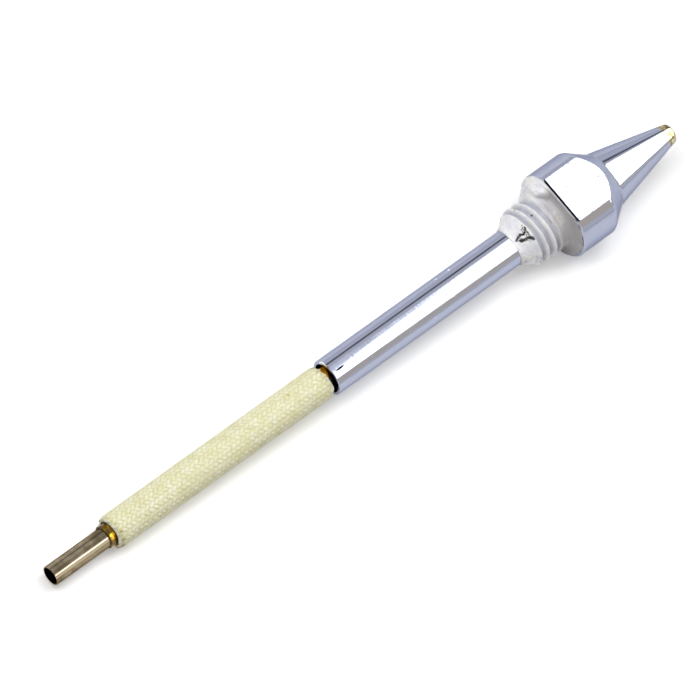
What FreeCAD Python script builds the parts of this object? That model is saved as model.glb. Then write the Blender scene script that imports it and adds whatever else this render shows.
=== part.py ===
import FreeCAD, Part

import math
import os

import Sketcher

# Desoldering tip: a plated nozzle head with an M8 stub, a plated barrel tube pressed into it,
# and a stainless suction pipe that runs through both, wrapped in film and a braided sleeve.
# Millimetres. The axis of the tip is X, with the nozzle towards +X. The origin is where the
# axis crosses the shoulder, the face that seats on the heater block, and +Z stands on a flat.

doc = FreeCAD.newDocument("desoldering_tip")

# A metric thread's form, as shares of its pitch, and the angle of each side of its groove.
GROOVE_DEPTH = 0.6134
GROOVE_LIP = 0.06
ROOT_HALF_WIDTH = 0.0833
SIDE_ANGLE_DEG = 30

SIZES = [
    ("thread_major", 8.0, "outside diameter of the M8 thread"),
    ("thread_pitch", 1.25, "advance of the thread in one turn"),
    ("thread_phase", 3.8, "distance of a thread groove behind the shoulder, on the +Z side"),
    ("stub_length", 6.1, "threaded stub, from the shoulder to its rear end"),
    ("stub_chamfer", 0.95, "lead-in cone at the rear end of the stub"),
    ("relief_length", 1.9, "undercut between the thread and the shoulder"),
    ("relief_diameter", 6.3, "diameter of the undercut"),
    ("relief_fillet", 0.9, "corner radius between the undercut and the shoulder"),
    ("body_diameter", 12.0, "round body between the shoulder and the front cone"),
    ("body_length", 5.5, "cylindrical part of the body"),
    ("body_edge_break", 0.15, "chamfer round the rear rim of the body"),
    ("body_front_round", 1.0, "radius where the body turns into the front cone"),
    ("cone_length", 2.75, "front cone, from the body to the foot of the nozzle"),
    ("spanner_opening", 10.0, "spanner that turns the tip"),
    ("spanner_clearance", 0.15, "play of the spanner over the two flats"),
    ("nozzle_root_diameter", 8.0, "nozzle where it leaves the front cone"),
    ("nozzle_length", 11.7, "nozzle, from its foot to its end"),
    ("nozzle_blend", 0.8, "radius at the foot of the nozzle"),
    ("nozzle_end_diameter", 2.5, "nozzle at its end, before the edge is rounded"),
    ("nozzle_end_round", 0.5, "radius round the end of the nozzle"),
    ("hole_diameter", 1.0, "suction hole in the nozzle"),
    ("hole_length", 5.5, "straight part of the suction hole"),
    ("bore_overrun", 0.3, "how far a boring cut runs past the end it opens"),
    ("pipe_diameter", 2.7, "outside of the suction pipe"),
    ("pipe_wall", 0.2, "wall of the suction pipe"),
    ("pipe_reach", 83.4, "from the shoulder back to the open end of the pipe"),
    ("pipe_seat", 8.0, "from the shoulder forward to where the pipe ends in the head"),
    ("pipe_fit", 0.005, "play between the pipe and its bore, on the radius"),
    ("pipe_edge_break", 0.05, "chamfer round the open end of the pipe"),
    ("barrel_diameter", 5.0, "outside of the barrel tube"),
    ("barrel_wall", 0.4, "wall of the barrel tube"),
    ("barrel_reach", 37.8, "from the shoulder back to the mouth of the barrel"),
    ("barrel_seat", 4.6, "length of barrel inside the stub"),
    ("neck_diameter", 4.6, "outside of the barrel's neck, which goes into the stub"),
    ("neck_show", 1.5, "neck between the stub and the full barrel, filled with compound"),
    ("neck_fit", 0.005, "play between the neck and its bore, on the radius"),
    ("barrel_edge_break", 0.1, "chamfer round the mouth of the barrel"),
    ("film_wall", 0.3, "turns of film on the pipe"),
    ("film_lap", 0.08, "step where the last turn of film ends"),
    ("film_show", 8.7, "bare pipe behind the film"),
    ("film_hidden", 12.0, "length of film inside the barrel"),
    ("film_fit", 0.005, "play between the film and the pipe, on the radius"),
    ("sleeve_diameter", 4.66, "braided sleeve over the crowns of its yarns"),
    ("sleeve_setback", 0.87, "film that shows behind the sleeve"),
    ("sleeve_gap", 0.62, "gap between the sleeve and the mouth of the barrel"),
    ("sleeve_fit", 0.04, "play between the sleeve and the film, on the radius"),
    ("braid_depth", 0.12, "depth of the pits between the yarns"),
    ("braid_yarns", 8, "yarns that run each way round the sleeve"),
    ("braid_pick", 1.1, "distance between crossings along the sleeve"),
    ("compound_height", 0.5, "compound above the barrel where it meets the stub"),
    ("compound_middle", 0.17, "compound above the barrel halfway along the neck"),
    ("compound_fit", 0.005, "play between the compound and what it lies on"),
]


def fill_sheet():
    """Writes every driving size into the sheet, with its name and what it measures."""
    sheet = doc.addObject("Spreadsheet::Sheet", "Sizes")
    for row, (alias, number, meaning) in enumerate(SIZES, start=1):
        sheet.set("A{}".format(row), alias)
        sheet.set("B{}".format(row), str(number))
        sheet.set("C{}".format(row), meaning)
        sheet.setAlias("B{}".format(row), alias)
    doc.recompute()
    return sheet


sheet = fill_sheet()


def size(expression):
    """The number that an expression of sheet names gives now."""
    return float(sheet.evalExpression(named(expression)))


def named(expression):
    """The expression with each sheet name written as the document needs it."""
    words = expression.split()
    aliases = [alias for alias, number, meaning in SIZES]
    return " ".join("Sizes." + word if word in aliases else word for word in words)


def bind(item, prop, expression):
    """Ties a property to an expression of sheet names."""
    item.setExpression(prop, named(expression))


def add_body(name):
    body = doc.addObject("PartDesign::Body", name)
    body.Label = name
    return body


def datum(body, role):
    """An axis or plane of the body's own origin."""
    for feature in body.Origin.OriginFeatures:
        if feature.Role == role:
            return feature
    raise ValueError(role)


def add_sketch(body, name, plane):
    sketch = body.newObject("Sketcher::SketchObject", name)
    sketch.AttachmentSupport = (datum(body, plane), [""])
    sketch.MapMode = "FlatFace"
    return sketch


def pin_point(sketch, line, end, axis, expression, name):
    """Holds one coordinate of a line's end to an expression, or to the sketch's axis."""
    if expression == "0":
        crossing_axis = -2 if axis == "X" else -1
        sketch.addConstraint(Sketcher.Constraint("PointOnObject", line, end, crossing_axis))
        return
    constraint = Sketcher.Constraint("Distance" + axis, line, end, size(expression))
    index = sketch.addConstraint(constraint)
    sketch.renameConstraint(index, name)
    bind(sketch, "Constraints." + name, expression)


def draw_outline(sketch, corners):
    """Closed outline of straight lines, each corner a pair of expressions of sheet names."""
    places = [FreeCAD.Vector(size(across), size(up), 0) for across, up in corners]
    count = len(corners)
    for index in range(count):
        sketch.addGeometry(Part.LineSegment(places[index], places[(index + 1) % count]), False)
    for index in range(count):
        following = (index + 1) % count
        sketch.addConstraint(Sketcher.Constraint("Coincident", index, 2, following, 1))
    for index, (across, up) in enumerate(corners):
        pin_point(sketch, index, 1, "X", across, "across{}".format(index))
        pin_point(sketch, index, 1, "Y", up, "up{}".format(index))


def draw_circle(sketch, expression, name):
    """Circle about the sketch's origin, with its radius given by sheet names."""
    circle = Part.Circle(FreeCAD.Vector(0, 0, 0), FreeCAD.Vector(0, 0, 1), size(expression))
    index = sketch.addGeometry(circle, False)
    sketch.addConstraint(Sketcher.Constraint("Coincident", index, 3, -1, 1))
    radius = sketch.addConstraint(Sketcher.Constraint("Radius", index, size(expression)))
    sketch.renameConstraint(radius, name)
    bind(sketch, "Constraints." + name, expression)


def rim(feature, along, radius):
    """Names of the feature's round edges about X at one station and radius."""
    names = []
    for index, edge in enumerate(feature.Shape.Edges, start=1):
        curve = edge.Curve
        if not isinstance(curve, Part.Circle):
            continue
        if abs(curve.Center.x - along) < 1e-4 and abs(curve.Radius - radius) < 1e-4:
            names.append("Edge{}".format(index))
    if not names:
        raise ValueError("no rim at {} with radius {}".format(along, radius))
    return names


def dress_rim(body, kind, name, base, station, radius, amount):
    """Rounds or chamfers the rim of a turned shape."""
    doc.recompute()
    dressing = body.newObject("PartDesign::" + kind, name)
    dressing.Base = (base, rim(base, size(station), size(radius)))
    bind(dressing, "Radius" if kind == "Fillet" else "Size", amount)
    return dressing


def turn(body, sketch, name, kind):
    """Full turn of a sketch about the X axis, adding or removing material."""
    turned = body.newObject("PartDesign::" + kind, name)
    turned.Profile = sketch
    turned.ReferenceAxis = (sketch, ["H_Axis"])
    turned.Angle = 360
    return turned


# Nozzle head

def turn_blank(body):
    """Outside of the head as it leaves the lathe, then its rounded and chamfered edges."""
    sketch = add_sketch(body, "head_outline", "XZ_Plane")
    draw_outline(sketch, [
        ("-1 * stub_length", "0"),
        ("-1 * stub_length", "thread_major / 2 - stub_chamfer"),
        ("stub_chamfer - stub_length", "thread_major / 2"),
        ("-1 * relief_length", "thread_major / 2"),
        ("-1 * relief_length", "relief_diameter / 2"),
        ("0", "relief_diameter / 2"),
        ("0", "body_diameter / 2"),
        ("body_length", "body_diameter / 2"),
        ("body_length + cone_length", "nozzle_root_diameter / 2"),
        ("body_length + cone_length + nozzle_length", "nozzle_end_diameter / 2"),
        ("body_length + cone_length + nozzle_length", "0"),
    ])
    blank = turn(body, sketch, "head_blank", "Revolution")
    step = dress_rim(body, "Fillet", "relief_corner", blank,
                     "0", "relief_diameter / 2", "relief_fillet")
    step = dress_rim(body, "Chamfer", "rear_rim", step,
                     "0", "body_diameter / 2", "body_edge_break")
    step = dress_rim(body, "Fillet", "front_rim", step,
                     "body_length", "body_diameter / 2", "body_front_round")
    step = dress_rim(body, "Fillet", "nozzle_foot", step,
                     "body_length + cone_length", "nozzle_root_diameter / 2", "nozzle_blend")
    return dress_rim(body, "Fillet", "nozzle_end", step,
                     "body_length + cone_length + nozzle_length", "nozzle_end_diameter / 2",
                     "nozzle_end_round")


def mill_flats(body):
    """Two opposite flats, milled from the shoulder until they run out on the front cone."""
    sketch = add_sketch(body, "flat_outline", "YZ_Plane")
    draw_outline(sketch, [
        ("-1 * body_diameter", "( spanner_opening - spanner_clearance ) / 2"),
        ("body_diameter", "( spanner_opening - spanner_clearance ) / 2"),
        ("body_diameter", "body_diameter"),
        ("-1 * body_diameter", "body_diameter"),
    ])
    doc.recompute()
    flat = body.newObject("PartDesign::Pocket", "first_flat")
    flat.Profile = sketch
    flat.Reversed = True
    bind(flat, "Length", "body_length + cone_length")
    doc.recompute()
    flats = body.newObject("PartDesign::PolarPattern", "both_flats")
    flats.Originals = [flat]
    flats.Axis = (datum(body, "X_Axis"), [""])
    flats.Angle = 360
    flats.Occurrences = 2
    body.Tip = flats
    return flats


def bore_channel(body):
    """Bores for the barrel and the pipe, then the taper that narrows to the suction hole."""
    sketch = add_sketch(body, "channel_outline", "XZ_Plane")
    rear = "-1 * stub_length - bore_overrun"
    barrel_end = "barrel_seat - stub_length"
    tip = "body_length + cone_length + nozzle_length"
    draw_outline(sketch, [
        (rear, "0"),
        (rear, "neck_diameter / 2 + neck_fit"),
        (barrel_end, "neck_diameter / 2 + neck_fit"),
        (barrel_end, "pipe_diameter / 2 + pipe_fit"),
        ("pipe_seat", "pipe_diameter / 2 + pipe_fit"),
        ("pipe_seat", "pipe_diameter / 2 - pipe_wall"),
        (tip + " - hole_length", "hole_diameter / 2"),
        (tip + " + bore_overrun", "hole_diameter / 2"),
        (tip + " + bore_overrun", "0"),
    ])
    return turn(body, sketch, "channel", "Groove")


def cut_thread(body):
    """Right-hand thread: one helical groove from behind the stub into the undercut."""
    sketch = add_sketch(body, "thread_groove", "XZ_Plane")
    turns_behind = math.ceil(size("( stub_length - thread_phase ) / thread_pitch") + 0.5)
    middle = "-1 * thread_phase - {} * thread_pitch".format(turns_behind)
    slope = math.tan(math.radians(SIDE_ANGLE_DEG))
    lip_half_width = ROOT_HALF_WIDTH + (GROOVE_DEPTH + GROOVE_LIP) * slope
    root_half = "{} * thread_pitch".format(ROOT_HALF_WIDTH)
    root_depth = "{} * thread_pitch".format(GROOVE_DEPTH)
    lip = "{} * thread_pitch".format(GROOVE_LIP)
    lip_half = "{:.6f} * thread_pitch".format(lip_half_width)
    draw_outline(sketch, [
        (middle + " - ( " + root_half + " )", "thread_major / 2 - " + root_depth),
        (middle + " + ( " + root_half + " )", "thread_major / 2 - " + root_depth),
        (middle + " + ( " + lip_half + " )", "thread_major / 2 + " + lip),
        (middle + " - ( " + lip_half + " )", "thread_major / 2 + " + lip),
    ])
    doc.recompute()
    thread = body.newObject("PartDesign::SubtractiveHelix", "thread")
    thread.Profile = sketch
    thread.ReferenceAxis = (sketch, ["H_Axis"])
    thread.Mode = "pitch-height-angle"
    bind(thread, "Pitch", "thread_pitch")
    bind(thread, "Height", "thread_phase + {} * thread_pitch - relief_length + 0.5 * thread_pitch"
         .format(turns_behind))
    thread.LeftHanded = False
    thread.Reversed = False
    return thread


def make_nozzle_head():
    body = add_body("nozzle_head")
    turn_blank(body)
    mill_flats(body)
    bore_channel(body)
    cut_thread(body)
    return body


def make_barrel_tube():
    """Barrel with a necked front end: wall and bore both step in where the neck begins."""
    body = add_body("barrel_tube")
    sketch = add_sketch(body, "barrel_wall_section", "XZ_Plane")
    mouth = "-1 * barrel_reach"
    neck_start = "-1 * stub_length - neck_show"
    neck_end = "barrel_seat - stub_length"
    step = "( barrel_diameter - neck_diameter ) / 2"
    draw_outline(sketch, [
        (mouth, "barrel_diameter / 2 - barrel_wall"),
        (mouth, "barrel_diameter / 2 - barrel_edge_break"),
        (mouth + " + barrel_edge_break", "barrel_diameter / 2"),
        (neck_start, "barrel_diameter / 2"),
        (neck_start, "neck_diameter / 2"),
        (neck_end, "neck_diameter / 2"),
        (neck_end, "neck_diameter / 2 - barrel_wall"),
        (neck_start + " - barrel_wall", "neck_diameter / 2 - barrel_wall"),
        (neck_start + " - barrel_wall - " + step, "barrel_diameter / 2 - barrel_wall"),
    ])
    turn(body, sketch, "barrel_wall", "Revolution")
    return body


def make_suction_pipe():
    """Pipe cut square, with the burr taken off round its open end."""
    body = add_body("suction_pipe")
    sketch = add_sketch(body, "pipe_section", "YZ_Plane")
    draw_circle(sketch, "pipe_diameter / 2", "outer")
    draw_circle(sketch, "pipe_diameter / 2 - pipe_wall", "inner")
    wall = body.newObject("PartDesign::Pad", "pipe_length")
    wall.Profile = sketch
    bind(wall, "Length", "pipe_reach + pipe_seat")
    dress_rim(body, "Chamfer", "pipe_rim", wall, "0", "pipe_diameter / 2", "pipe_edge_break")
    bind(body, "Placement.Base.x", "-1 * pipe_reach")
    return body


# Film round the pipe

def make_film_wrap():
    """Film wound on the pipe: the outside is a spiral of two half turns that ends in a step."""
    body = add_body("film_wrap")
    sketch = add_sketch(body, "film_section", "YZ_Plane")
    inner = "pipe_diameter / 2 + film_fit"
    outer = inner + " + film_wall"
    start_radius = size(outer + " - film_lap")
    shift = size("film_lap / 2")
    normal = FreeCAD.Vector(0, 0, 1)
    first = Part.Circle(FreeCAD.Vector(0, 0, 0), normal, start_radius)
    second = Part.Circle(FreeCAD.Vector(shift, 0, 0), normal, start_radius + shift)
    sketch.addGeometry(Part.ArcOfCircle(first, 0, math.pi), False)
    sketch.addGeometry(Part.ArcOfCircle(second, math.pi, 2 * math.pi), False)
    step_start = FreeCAD.Vector(start_radius + 2 * shift, 0, 0)
    step_end = FreeCAD.Vector(start_radius, 0, 0)
    sketch.addGeometry(Part.LineSegment(step_start, step_end), False)
    sketch.addConstraint(Sketcher.Constraint("Coincident", 0, 3, -1, 1))
    sketch.addConstraint(Sketcher.Constraint("PointOnObject", 1, 3, -1))
    sketch.addConstraint(Sketcher.Constraint("Coincident", 0, 2, 1, 1))
    sketch.addConstraint(Sketcher.Constraint("Coincident", 1, 2, 2, 1))
    sketch.addConstraint(Sketcher.Constraint("Coincident", 2, 2, 0, 1))
    sketch.addConstraint(Sketcher.Constraint("PointOnObject", 0, 1, -1))
    sketch.addConstraint(Sketcher.Constraint("PointOnObject", 0, 2, -1))
    sketch.addConstraint(Sketcher.Constraint("PointOnObject", 1, 2, -1))
    radius = sketch.addConstraint(Sketcher.Constraint("Radius", 0, start_radius))
    sketch.renameConstraint(radius, "first_turn")
    bind(sketch, "Constraints.first_turn", outer + " - film_lap")
    step = sketch.addConstraint(Sketcher.Constraint("DistanceX", 2, 2, 2, 1, 2 * shift))
    sketch.renameConstraint(step, "lap")
    bind(sketch, "Constraints.lap", "film_lap")
    draw_circle(sketch, inner, "inside")
    wrap = body.newObject("PartDesign::Pad", "film_turns")
    wrap.Profile = sketch
    bind(wrap, "Length", "pipe_reach - film_show - barrel_reach + film_hidden")
    bind(body, "Placement.Base.x", "film_show - pipe_reach")
    return body


# Braided sleeve

def braid_skin(length, radius, depth, yarns, pick):
    """Solid rod whose skin is a net of yarn ridges that cross at each crown.

    Rows and columns of points alternate between crown and pit, and each cell is folded along
    the line between its two crowns, so the folds run round the rod both ways as the yarns do.
    """
    columns = 2 * yarns
    rows = 2 * max(1, round(length / pick))

    def point(row, column):
        crown = (row + column) % 2 == 0
        reach = radius if crown else radius - depth
        angle = 2 * math.pi * (column % columns) / columns
        along = length * row / rows
        return FreeCAD.Vector(along, reach * math.cos(angle), reach * math.sin(angle))

    def face(corners):
        return Part.Face(Part.makePolygon(corners + corners[:1]))

    faces = []
    for row in range(rows):
        for column in range(columns):
            near = point(row, column)
            side = point(row, column + 1)
            far = point(row + 1, column + 1)
            ahead = point(row + 1, column)
            if (row + column) % 2 == 0:
                faces.append(face([near, side, far]))
                faces.append(face([near, far, ahead]))
            else:
                faces.append(face([near, side, ahead]))
                faces.append(face([side, far, ahead]))
    faces.append(face([point(0, column) for column in range(columns)]))
    faces.append(face([point(rows, column) for column in range(columns)]))
    shell = Part.Shell(faces)
    shell.sewShape()
    solid = Part.Solid(shell)
    if solid.Volume < 0:
        solid.reverse()
    return solid


def make_braided_sleeve():
    """Braided rod with a plain bore for the film."""
    start = "film_show + sleeve_setback - pipe_reach"
    length = "pipe_reach - film_show - sleeve_setback - barrel_reach - sleeve_gap"
    braid = doc.addObject("Part::Feature", "braid")
    braid.Shape = braid_skin(size(length), size("sleeve_diameter / 2"), size("braid_depth"),
                             int(size("braid_yarns")), size("braid_pick"))
    braid.Placement = FreeCAD.Placement(FreeCAD.Vector(size(start), 0, 0), FreeCAD.Rotation())
    bore = doc.addObject("Part::Cylinder", "sleeve_bore")
    bind(bore, "Radius", "pipe_diameter / 2 + film_fit + film_wall + sleeve_fit")
    bind(bore, "Height", "( " + length + " ) + 2 * bore_overrun")
    bore.Placement.Rotation = FreeCAD.Rotation(FreeCAD.Vector(0, 1, 0), 90)
    bind(bore, "Placement.Base.x", start + " - bore_overrun")
    sleeve = doc.addObject("Part::Cut", "braided_sleeve")
    sleeve.Base = braid
    sleeve.Tool = bore
    sleeve.Label = "braided_sleeve"
    return sleeve


# White compound

def make_thread_compound():
    """Ring of compound that fills the neck of the barrel and climbs the end of the stub."""
    body = add_body("thread_compound")
    sketch = add_sketch(body, "compound_section", "XZ_Plane")
    inner = "neck_diameter / 2 + compound_fit"
    front = "-1 * stub_length - compound_fit"
    rear = "-1 * stub_length - neck_show + compound_fit"
    draw_outline(sketch, [
        (rear, inner),
        (rear, "barrel_diameter / 2"),
        (rear + " + neck_show / 2", "barrel_diameter / 2 + compound_middle"),
        (front, "barrel_diameter / 2 + compound_height"),
        (front, inner),
    ])
    turn(body, sketch, "compound_ring", "Revolution")
    return body


def check_and_export(pieces):
    """Stops on a failed feature or a bad solid, then writes one file for each piece."""
    doc.recompute()
    for item in doc.Objects:
        if "Invalid" in item.State or "Error" in item.State:
            raise RuntimeError("{} failed: {}".format(item.Name, item.State))
    os.makedirs("parts", exist_ok=True)
    for piece in pieces:
        shape = piece.Shape
        if shape.isNull() or not shape.isValid() or len(shape.Solids) != 1:
            raise RuntimeError("{} is not one valid solid".format(piece.Label))
    for piece in pieces:
        piece.Shape.exportStep("parts/{}.step".format(piece.Label))
        box = piece.Shape.BoundBox
        print("{:16s} volume {:8.2f} x {:7.2f} to {:7.2f} z {:6.2f} to {:6.2f}".format(
            piece.Label, piece.Shape.Volume, box.XMin, box.XMax, box.ZMin, box.ZMax))


check_and_export([
    make_nozzle_head(),
    make_barrel_tube(),
    make_suction_pipe(),
    make_film_wrap(),
    make_braided_sleeve(),
    make_thread_compound(),
])
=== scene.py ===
"""Looks of the desoldering tip: plated metal, woven sleeve, amber film and dried paste on its frame."""

import logging
import math
from collections.abc import Callable
from dataclasses import dataclass
from enum import Enum

import bpy
from mathutils import Matrix, Vector, noise


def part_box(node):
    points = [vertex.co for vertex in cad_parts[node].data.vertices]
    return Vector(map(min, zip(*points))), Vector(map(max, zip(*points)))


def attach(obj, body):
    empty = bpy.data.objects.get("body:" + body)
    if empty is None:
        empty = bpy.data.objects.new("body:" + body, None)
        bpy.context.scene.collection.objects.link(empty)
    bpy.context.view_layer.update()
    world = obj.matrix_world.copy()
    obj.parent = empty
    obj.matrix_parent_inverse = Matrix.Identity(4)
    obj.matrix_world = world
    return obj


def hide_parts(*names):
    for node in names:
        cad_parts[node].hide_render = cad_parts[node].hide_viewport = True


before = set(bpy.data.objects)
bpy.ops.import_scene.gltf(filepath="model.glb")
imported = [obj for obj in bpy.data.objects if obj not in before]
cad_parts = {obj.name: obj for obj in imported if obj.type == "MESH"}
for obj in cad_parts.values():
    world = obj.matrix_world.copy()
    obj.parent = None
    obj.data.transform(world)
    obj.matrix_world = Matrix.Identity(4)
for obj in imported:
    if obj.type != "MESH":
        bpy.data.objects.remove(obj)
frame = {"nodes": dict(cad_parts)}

MM = 0.001
BODY = "root"
FULL_TURN = 2.0 * math.pi
WAVE_BANDS_PER_UNIT = 20.0 / FULL_TURN
PHOTO_SIDE_PX = 700
SENSOR_MM = 36.0
MERGE = 1e-6

log = logging.getLogger("desoldering_tip")


class Hand(Enum):
    """Which way a yarn winds round the sleeve."""

    RIGHT = 1
    LEFT = -1


def linear(code: str) -> tuple[float, float, float, float]:
    """Turns an sRGB hex colour into linear values.

    Args:
        code: the colour as "#RRGGBB".

    Returns:
        Red, green, blue and alpha, in linear light.
    """
    parts = [int(code[i:i + 2], 16) / 255.0 for i in (1, 3, 5)]
    bent = [p / 12.92 if p <= 0.04045 else ((p + 0.055) / 1.055) ** 2.4 for p in parts]
    return (bent[0], bent[1], bent[2], 1.0)


def per_mm(size_mm: float) -> float:
    """Gives the texture scale at which one feature measures size_mm."""
    return 1.0 / (size_mm * MM)


def add_node(tree: bpy.types.NodeTree, kind: str, settings: dict | None = None,
             links: dict | None = None) -> bpy.types.Node:
    """Adds a node with its settings and links.

    Args:
        tree: the node tree.
        kind: the node's type name.
        settings: properties by name, and sockets by name or number with their values.
        links: sockets by name or number, each with the output that feeds it.

    Returns:
        The new node.
    """
    node = tree.nodes.new(kind)
    for key, value in (settings or {}).items():
        if isinstance(key, str) and hasattr(node, key):
            setattr(node, key, value)
        else:
            node.inputs[key].default_value = value
    for key, source in (links or {}).items():
        tree.links.new(source, node.inputs[key])
    return node


def set_ramp(node: bpy.types.Node, stops: list[tuple[float, str]]) -> None:
    """Gives a colour ramp its stops.

    Args:
        node: the ramp's node.
        stops: each a place from 0 to 1 and a hex colour.
    """
    elements = node.color_ramp.elements
    while len(elements) < len(stops):
        elements.new(0.5)
    for element, (place, code) in zip(elements, stops):
        element.position = place
        element.color = linear(code)


def new_material(name: str) -> tuple[bpy.types.Material, bpy.types.NodeTree, bpy.types.Node]:
    """Makes an empty node material.

    Args:
        name: the material's name.

    Returns:
        The material, its node tree and its Principled shader, linked to the output.
    """
    material = bpy.data.materials.new(name)
    material.use_nodes = True
    tree = material.node_tree
    tree.nodes.clear()
    shader = add_node(tree, "ShaderNodeBsdfPrincipled")
    add_node(tree, "ShaderNodeOutputMaterial", links={"Surface": shader.outputs["BSDF"]})
    return material, tree, shader


def object_place(tree: bpy.types.NodeTree) -> bpy.types.NodeSocket:
    """Returns the object coordinates, which are the row frame's metres."""
    return add_node(tree, "ShaderNodeTexCoord").outputs["Object"]


def stretched(tree: bpy.types.NodeTree, place: bpy.types.NodeSocket, along_mm: float,
              across_mm: float) -> bpy.types.NodeSocket:
    """Scales the place so that one feature measures along_mm by across_mm.

    Args:
        tree: the node tree.
        place: the coordinates in metres.
        along_mm: the feature's size along the tip's axis.
        across_mm: the feature's size across it.

    Returns:
        The scaled coordinates, for a texture of scale 1.
    """
    scale = (per_mm(along_mm), per_mm(across_mm), per_mm(across_mm))
    mapped = add_node(tree, "ShaderNodeMapping", {"Scale": scale}, {"Vector": place})
    return mapped.outputs["Vector"]


def spot(tree: bpy.types.NodeTree, place: bpy.types.NodeSocket, centre_mm: tuple[float, float, float],
         radius_mm: float, ragged_mm: float, long: float = 1.0) -> bpy.types.NodeSocket:
    """Makes a mask that is 1 inside a ragged spot and 0 outside it.

    Args:
        tree: the node tree.
        place: the coordinates in metres.
        centre_mm: the middle of the spot.
        radius_mm: its radius.
        ragged_mm: how far its edge wanders.
        long: how many times longer than wide it is, along the tip's axis.

    Returns:
        The mask's socket.
    """
    middle = tuple(value * MM for value in centre_mm)
    away = add_node(tree, "ShaderNodeVectorMath", {"operation": "SUBTRACT", 1: middle}, {0: place})
    squeezed = add_node(tree, "ShaderNodeVectorMath", {"operation": "MULTIPLY", 1: (1.0 / long, 1.0, 1.0)},
                        {0: away.outputs[0]})
    far = add_node(tree, "ShaderNodeVectorMath", {"operation": "LENGTH"}, {0: squeezed.outputs[0]})
    rough = add_node(tree, "ShaderNodeTexNoise", {"Scale": per_mm(radius_mm * 0.8), "Detail": 4.0},
                     {"Vector": place})
    wander = add_node(tree, "ShaderNodeMath", {"operation": "MULTIPLY_ADD", 1: 2.0 * ragged_mm * MM,
                                               2: -ragged_mm * MM}, {0: rough.outputs["Fac"]})
    edge = add_node(tree, "ShaderNodeMath", {"operation": "ADD"},
                    {0: far.outputs["Value"], 1: wander.outputs[0]})
    mask = add_node(tree, "ShaderNodeMapRange",
                    {"From Min": radius_mm * MM, "From Max": radius_mm * MM * 0.8},
                    {"Value": edge.outputs[0]})
    return mask.outputs["Result"]


def mix_colour(tree: bpy.types.NodeTree, mask: bpy.types.NodeSocket, under: object,
               over: object) -> bpy.types.NodeSocket:
    """Lays one colour over another through a mask.

    Args:
        tree: the node tree.
        mask: 0 shows under, and 1 shows over.
        under: a socket or a hex colour.
        over: a socket or a hex colour.

    Returns:
        The mixed colour's socket.
    """
    settings = {"data_type": "RGBA"}
    links = {0: mask}
    for number, colour in ((6, under), (7, over)):
        if isinstance(colour, str):
            settings[number] = linear(colour)
        else:
            links[number] = colour
    return add_node(tree, "ShaderNodeMix", settings, links).outputs[2]


def bumps(tree: bpy.types.NodeTree, layers: list[tuple[bpy.types.NodeSocket, float]]) -> bpy.types.NodeSocket:
    """Stacks height fields as bumps.

    Args:
        tree: the node tree.
        layers: each height field with the depth in millimetres between its 0 and its 1.

    Returns:
        The normal's socket.
    """
    normal = None
    for height, depth_mm in layers:
        links = {"Height": height}
        if normal is not None:
            links["Normal"] = normal
        bump = add_node(tree, "ShaderNodeBump", {"Strength": 1.0, "Distance": depth_mm * MM}, links)
        normal = bump.outputs[0]
    return normal


def from_axis(tree: bpy.types.NodeTree, axes: bpy.types.Node) -> bpy.types.NodeSocket:
    """Measures how far a place lies from the tip's axis.

    Args:
        tree: the node tree.
        axes: the node that splits the place into X, Y and Z.

    Returns:
        The distance's socket, in metres.
    """
    ring = add_node(tree, "ShaderNodeCombineXYZ", links={"Y": axes.outputs["Y"], "Z": axes.outputs["Z"]})
    length = add_node(tree, "ShaderNodeVectorMath", {"operation": "LENGTH"}, {0: ring.outputs[0]})
    return length.outputs["Value"]


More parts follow.
